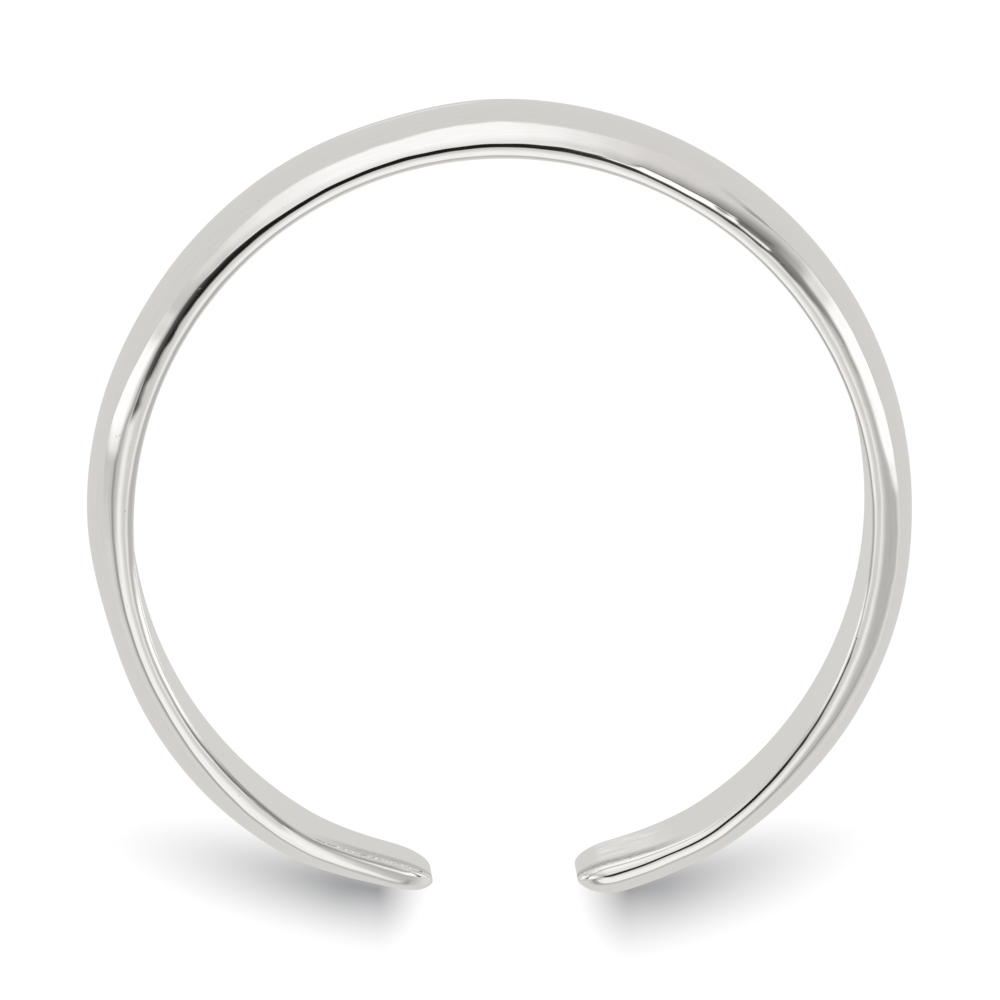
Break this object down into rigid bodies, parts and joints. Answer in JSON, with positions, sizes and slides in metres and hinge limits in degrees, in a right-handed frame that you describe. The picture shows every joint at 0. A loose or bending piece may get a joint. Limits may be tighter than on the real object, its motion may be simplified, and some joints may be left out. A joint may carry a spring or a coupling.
{
  "type": "toe ring",
  "caption": "Open plain band toe ring in polished silver, domed outside and flat inside, with rounded ends and a gap that lets it spring onto a toe.",
  "frame": {"origin": "centre of the bore, half way across the band's width", "axes": "+Z along the bore's axis, +Y from the bore's centre towards the crown, so the gap is at -Y; the ring lies on its side on a surface 2 mm below the origin"},
  "size_m": [0.0168, 0.0163, 0.004],
  "materials": {
    "silver": "polished"
  },
  "bodies": {
    "root": {"band": "silver"}
  },
  "joints": []
}
